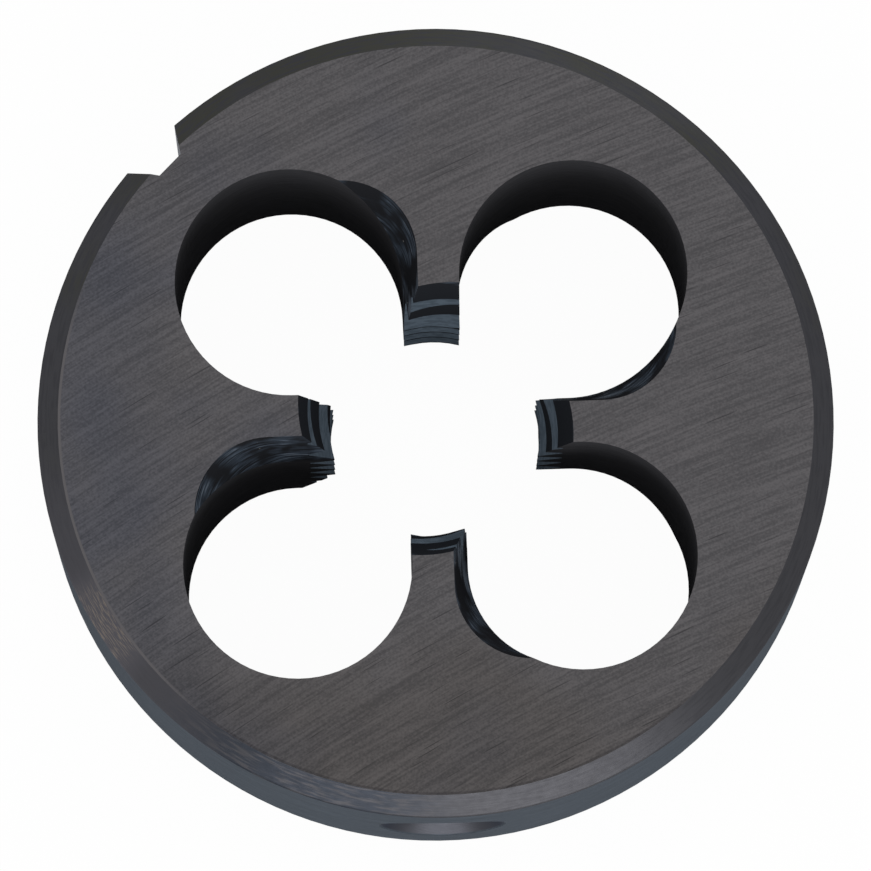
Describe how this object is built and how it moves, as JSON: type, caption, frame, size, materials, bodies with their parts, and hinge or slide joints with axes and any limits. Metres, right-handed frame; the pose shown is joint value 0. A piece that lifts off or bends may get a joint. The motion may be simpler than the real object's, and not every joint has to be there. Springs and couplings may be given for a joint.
{
  "type": "round threading die",
  "caption": "Solid round die for cutting an outside screw thread by hand, with chip holes round the threaded hole, a notch in the rim and conical screw seats.",
  "frame": {"origin": "centre of the back face", "axes": "+Z along the thread axis, out of the front face; lands lie on +X, +Y, -X and -Y, and the notch is in the rim between -X and +Y"},
  "size_m": [0.038, 0.038, 0.014],
  "materials": {
    "die": "ground faces, dark hardened holes"
  },
  "bodies": {
    "root": {"die": "die"}
  },
  "joints": []
}
